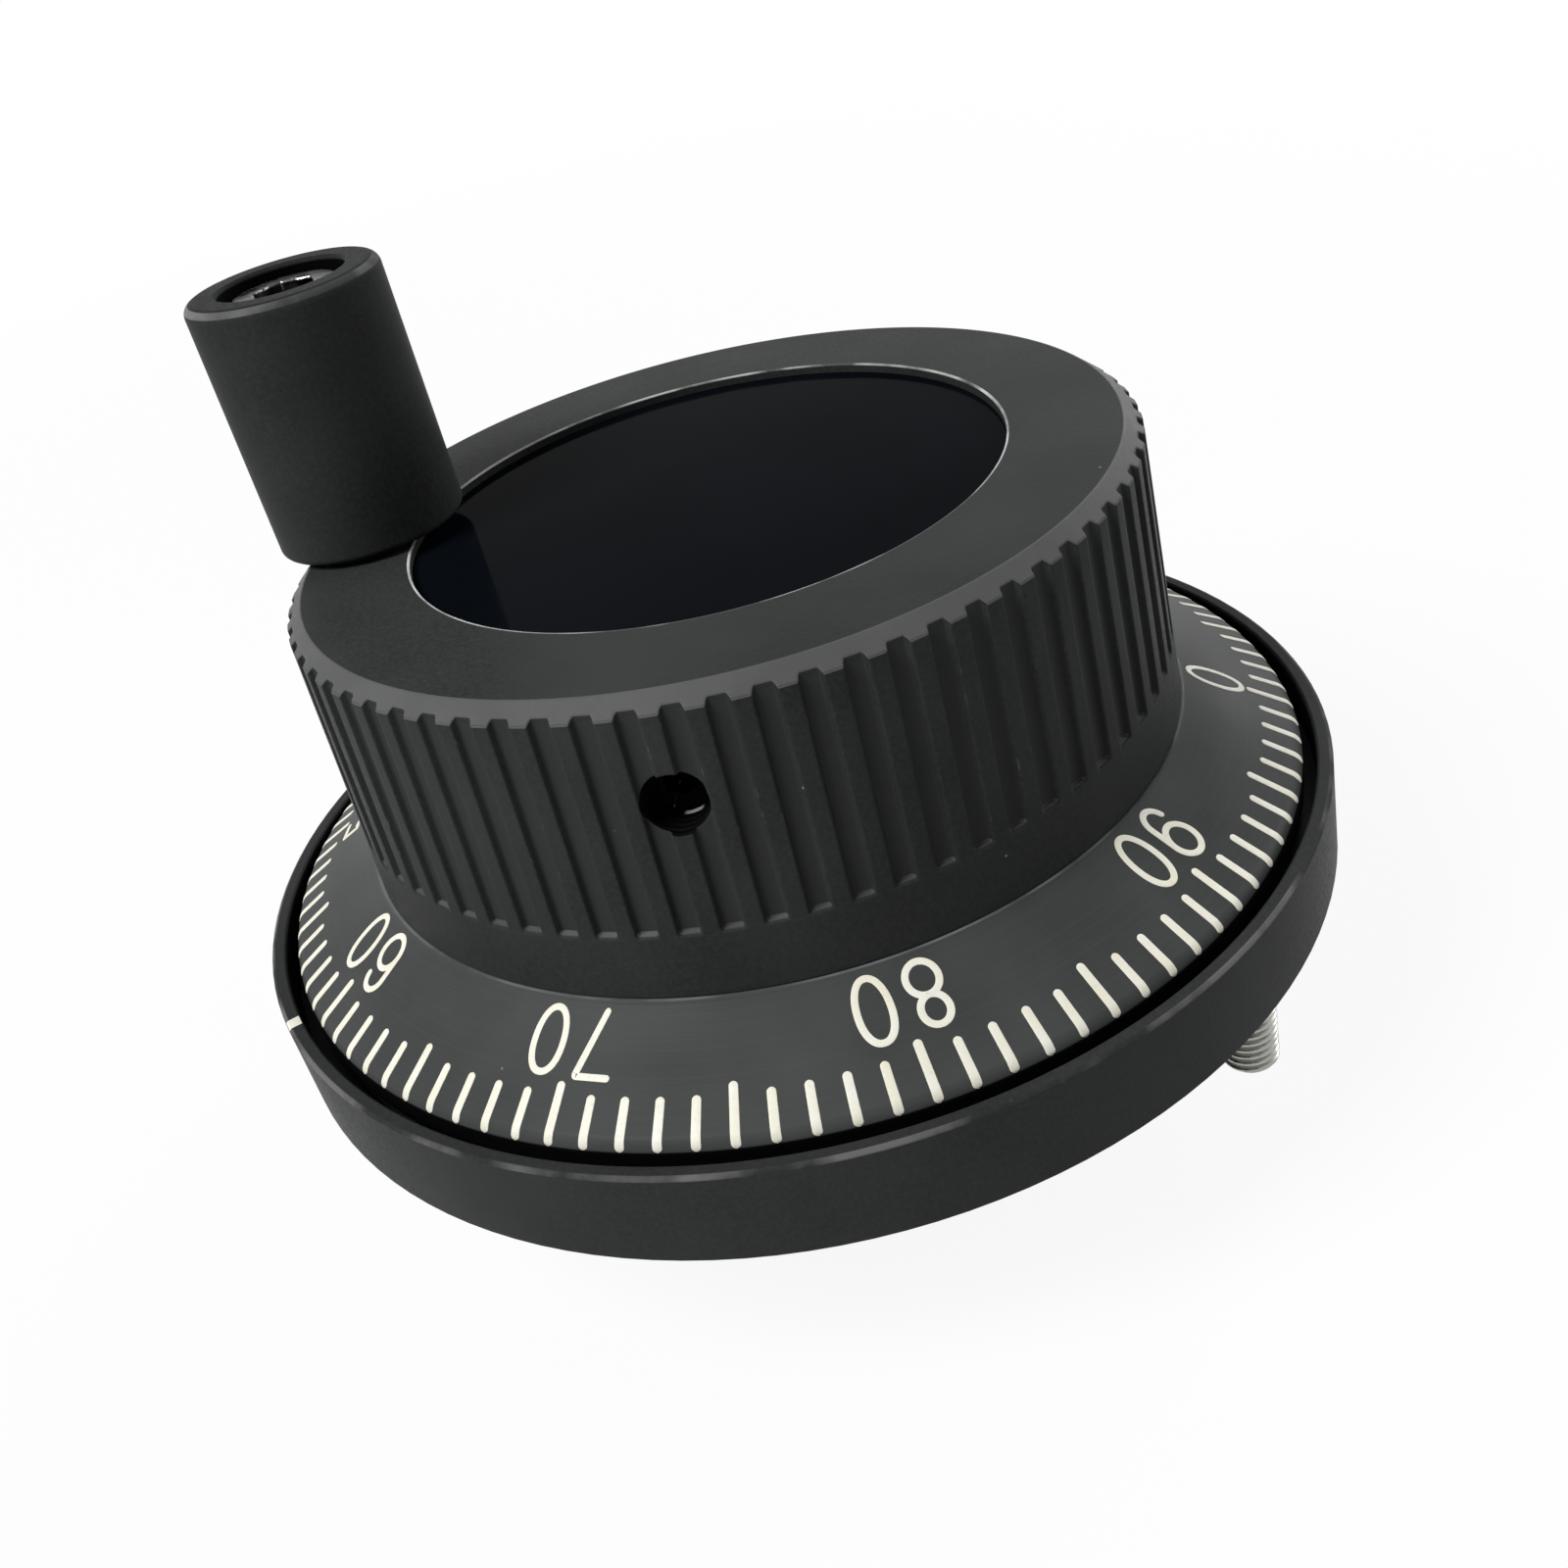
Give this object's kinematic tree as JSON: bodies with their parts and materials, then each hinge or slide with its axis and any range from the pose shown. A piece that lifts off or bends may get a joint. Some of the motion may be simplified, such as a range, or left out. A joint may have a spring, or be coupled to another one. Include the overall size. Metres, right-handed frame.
{
  "type": "pulse generator handwheel",
  "caption": "Panel-mounted rotary pulse generator with a graduated dial, grooved knob, crank grip, ball detent and optical encoder.",
  "frame": {"origin": "centre of the bezel's back face, which seats on the panel, on the spindle's axis", "axes": "+Z along the spindle towards the operator, +Y towards the index mark on the bezel"},
  "size_m": [0.08, 0.08, 0.0658],
  "materials": {
    "black_anodised": "fine bead-blasted and black anodised",
    "gloss_plate": "glossy black, slightly blue",
    "white_paint": "matt off-white filled mark",
    "zinc_steel": "bright zinc-plated thread",
    "bright_steel": "ground bearing steel",
    "dark_steel": "black oxide",
    "rubber": "matt nitrile",
    "brass": "turned",
    "bronze": "sintered, oily",
    "bare_aluminium": "turned",
    "circuit_board": "green solder mask",
    "black_plastic": "fine moulded texture",
    "tinted_lens": "clear, deep tint",
    "capacitor_sleeve": "shrink sleeve"
  },
  "bodies": {
    "base": {"mounting_flange": "black_anodised", "index_mark": "white_paint", "panel_studs": "zinc_steel", "lower_bearing_outer": "bright_steel", "upper_bearing_outer": "bright_steel", "bearing_circlip": "dark_steel", "shaft_seal": "rubber", "detent_plunger": "brass", "detent_spring": "dark_steel", "circuit_board": "circuit_board", "board_screws": "zinc_steel", "optical_head": "black_plastic", "light_emitter": "tinted_lens", "photo_detector": "tinted_lens", "driver_chip": "black_plastic", "capacitors": "capacitor_sleeve", "rear_cover": "black_plastic", "cover_screws": "zinc_steel", "terminal_block": "black_plastic", "terminal_pins": "brass", "terminal_clamps": "brass", "terminal_screws": "zinc_steel"},
    "handwheel": {"spindle": "bright_steel", "lower_bearing_inner": "bright_steel", "upper_bearing_inner": "bright_steel", "bearing_spacer": "bright_steel", "spindle_circlip": "dark_steel", "encoder_hub": "brass", "encoder_disc": "bright_steel", "encoder_set_screw": "dark_steel", "drive_hub": "bare_aluminium", "hub_washer": "bright_steel", "hub_screw": "dark_steel", "dial": "black_anodised", "detent_ring": "bright_steel", "dial_screws": "dark_steel", "knob": "black_anodised", "knob_set_screw": "dark_steel", "centre_plate": "gloss_plate", "grip_washer": "dark_steel", "grip_axle": "bright_steel"},
    "crank_grip": {"grip": "black_anodised", "grip_bushes": "bronze"},
    "lower_cage": {"lower_bearing_balls": "bright_steel", "lower_bearing_cage": "brass"},
    "upper_cage": {"upper_bearing_balls": "bright_steel", "upper_bearing_cage": "brass"},
    "detent_ball": {"detent_ball": "bright_steel"}
  },
  "joints": [
    {"name": "dial_spin", "type": "hinge", "parent": "base", "child": "handwheel", "pos_m": [0, 0, 0], "axis": [0, 0, 1], "continuous": true},
    {"name": "grip_spin", "type": "hinge", "parent": "handwheel", "child": "crank_grip", "pos_m": [0.01527, 0.01954, 0.035], "axis": [0, 0, 1], "continuous": true},
    {"name": "lower_cage_spin", "type": "hinge", "parent": "base", "child": "lower_cage", "pos_m": [0, 0, 0], "axis": [0, 0, 1], "continuous": true},
    {"name": "upper_cage_spin", "type": "hinge", "parent": "base", "child": "upper_cage", "pos_m": [0, 0, 0.0125], "axis": [0, 0, 1], "continuous": true},
    {"name": "detent_ball_travel", "type": "slide", "parent": "base", "child": "detent_ball", "axis": [0, 0, 1], "range_m": [0, 0.00022], "stiffness_N_per_m": 800, "deforming": ["detent_spring"]}
  ],
  "couplings": [
    {"joint": "lower_cage_spin", "follows": "dial_spin", "ratio": 0.41667},
    {"joint": "upper_cage_spin", "follows": "dial_spin", "ratio": 0.41667}
  ]
}
